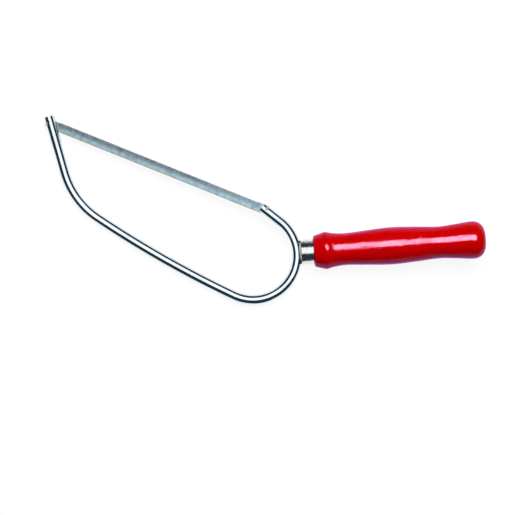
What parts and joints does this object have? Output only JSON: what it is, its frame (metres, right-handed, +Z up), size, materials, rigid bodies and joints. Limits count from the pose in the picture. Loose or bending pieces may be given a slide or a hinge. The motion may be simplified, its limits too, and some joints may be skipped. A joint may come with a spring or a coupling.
{
  "type": "mini hacksaw",
  "caption": "Small hand saw: a bent-rod spring bow with slit ends holds a thin pin-ended blade, and a turned wooden handle sits on a steel ferrule.",
  "frame": {"origin": "middle of the bounding box's underside, on the surface that the saw lies on", "axes": "+X along the handle from the bow to the butt, +Y from the bow's spine towards the blade, +Z up from the surface"},
  "size_m": [0.2668, 0.1262, 0.0303],
  "materials": {
    "plated_rod_rear": "bright plated steel rod",
    "plated_rod_front": "bright plated steel rod",
    "blade_steel": "blue-grey rolled blade steel with fine teeth",
    "front_pin_steel": "plain steel pin",
    "rear_pin_steel": "plain steel pin",
    "upper_weld_metal": "plated weld fillet",
    "lower_weld_metal": "plated weld fillet",
    "ferrule_steel": "bright drawn steel",
    "tang_steel": "plain steel, hidden in the handle",
    "red_lacquer": "turned wood under glossy red lacquer"
  },
  "bodies": {
    "frame": {"handle": "red_lacquer", "ferrule": "ferrule_steel", "tang": "tang_steel", "upper_weld": "upper_weld_metal", "lower_weld": "lower_weld_metal", "bow_rear": "plated_rod_rear"},
    "front_arm": {"bow_front": "plated_rod_front"},
    "blade": {"saw_blade": "blade_steel", "front_blade_pin": "front_pin_steel", "rear_blade_pin": "rear_pin_steel"}
  },
  "joints": [
    {"name": "bow_squeeze", "type": "hinge", "parent": "frame", "child": "front_arm", "pos_m": [-0.06514, -0.03088, 0.00376], "axis": [0.079, 0.0877, -0.993], "range_deg": [0, 3], "stiffness_Nm_per_rad": 80},
    {"name": "blade_swing", "type": "hinge", "parent": "frame", "child": "blade", "pos_m": [-0.1305, 0.05897, 0.00649], "axis": [-0.079, -0.0877, 0.993], "range_deg": [0, 110]}
  ]
}
